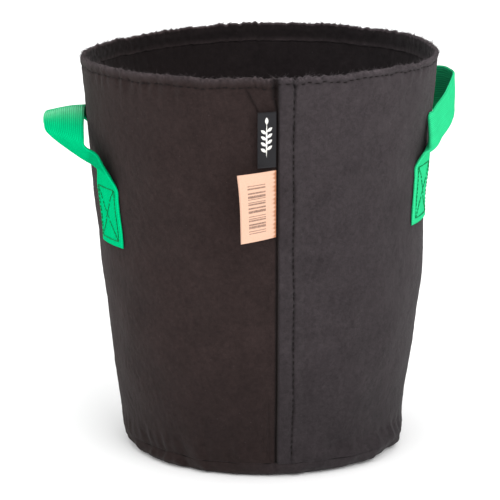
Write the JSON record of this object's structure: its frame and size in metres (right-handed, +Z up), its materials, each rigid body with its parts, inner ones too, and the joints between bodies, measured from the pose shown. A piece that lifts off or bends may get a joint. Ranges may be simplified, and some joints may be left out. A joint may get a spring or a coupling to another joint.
{
  "type": "fabric grow bag",
  "caption": "Open tapered felt plant pot with a hemmed rim, a lapped side seam holding two hanging labels, and a webbing carrying handle sewn to each side.",
  "frame": {"origin": "centre of the flat underside that the bag stands on", "axes": "+Z up out of the open top, -Y toward the side seam and its labels, handles on -X and +X"},
  "size_m": [0.234, 0.2115, 0.224],
  "materials": {
    "felt": "needle-punched grey felt, matte and fibrous",
    "webbing": "flat woven green webbing with a soft sheen",
    "woven_label": "fine black satin weave",
    "kraft_paper": "plain uncoated kraft paper",
    "felt_thread": "dark sewing thread",
    "webbing_thread": "green sewing thread"
  },
  "bodies": {
    "bag": {"side_wall": "felt", "base_panel": "felt", "left_strap_front_end": "webbing", "left_strap_rear_end": "webbing", "right_strap_front_end": "webbing", "right_strap_rear_end": "webbing", "rim_thread": "felt_thread", "side_seam_thread": "felt_thread", "base_seam_thread": "felt_thread", "left_front_end_thread": "webbing_thread", "left_rear_end_thread": "webbing_thread", "right_front_end_thread": "webbing_thread", "right_rear_end_thread": "webbing_thread"},
    "left_handle": {"left_strap_loop": "webbing"},
    "right_handle": {"right_strap_loop": "webbing"},
    "woven_label": {"woven_label": "woven_label"},
    "paper_label": {"paper_label": "kraft_paper"}
  },
  "joints": [
    {"name": "left_handle_swing", "type": "hinge", "parent": "bag", "child": "left_handle", "pos_m": [-0.093, 0, 0.163], "axis": [0, -1, 0], "range_deg": [0, 120]},
    {"name": "right_handle_swing", "type": "hinge", "parent": "bag", "child": "right_handle", "pos_m": [0.093, 0, 0.172], "axis": [0, 1, 0], "range_deg": [0, 120]},
    {"name": "woven_label_flap", "type": "hinge", "parent": "bag", "child": "woven_label", "pos_m": [0.00198, -0.09857, 0.19286], "axis": [0.0024, -0.0933, 0.9956], "range_deg": [-8, 125]},
    {"name": "paper_label_flap", "type": "hinge", "parent": "bag", "child": "paper_label", "pos_m": [0.00189, -0.09524, 0.15736], "axis": [0.0024, -0.0933, 0.9956], "range_deg": [-32, 100]}
  ]
}
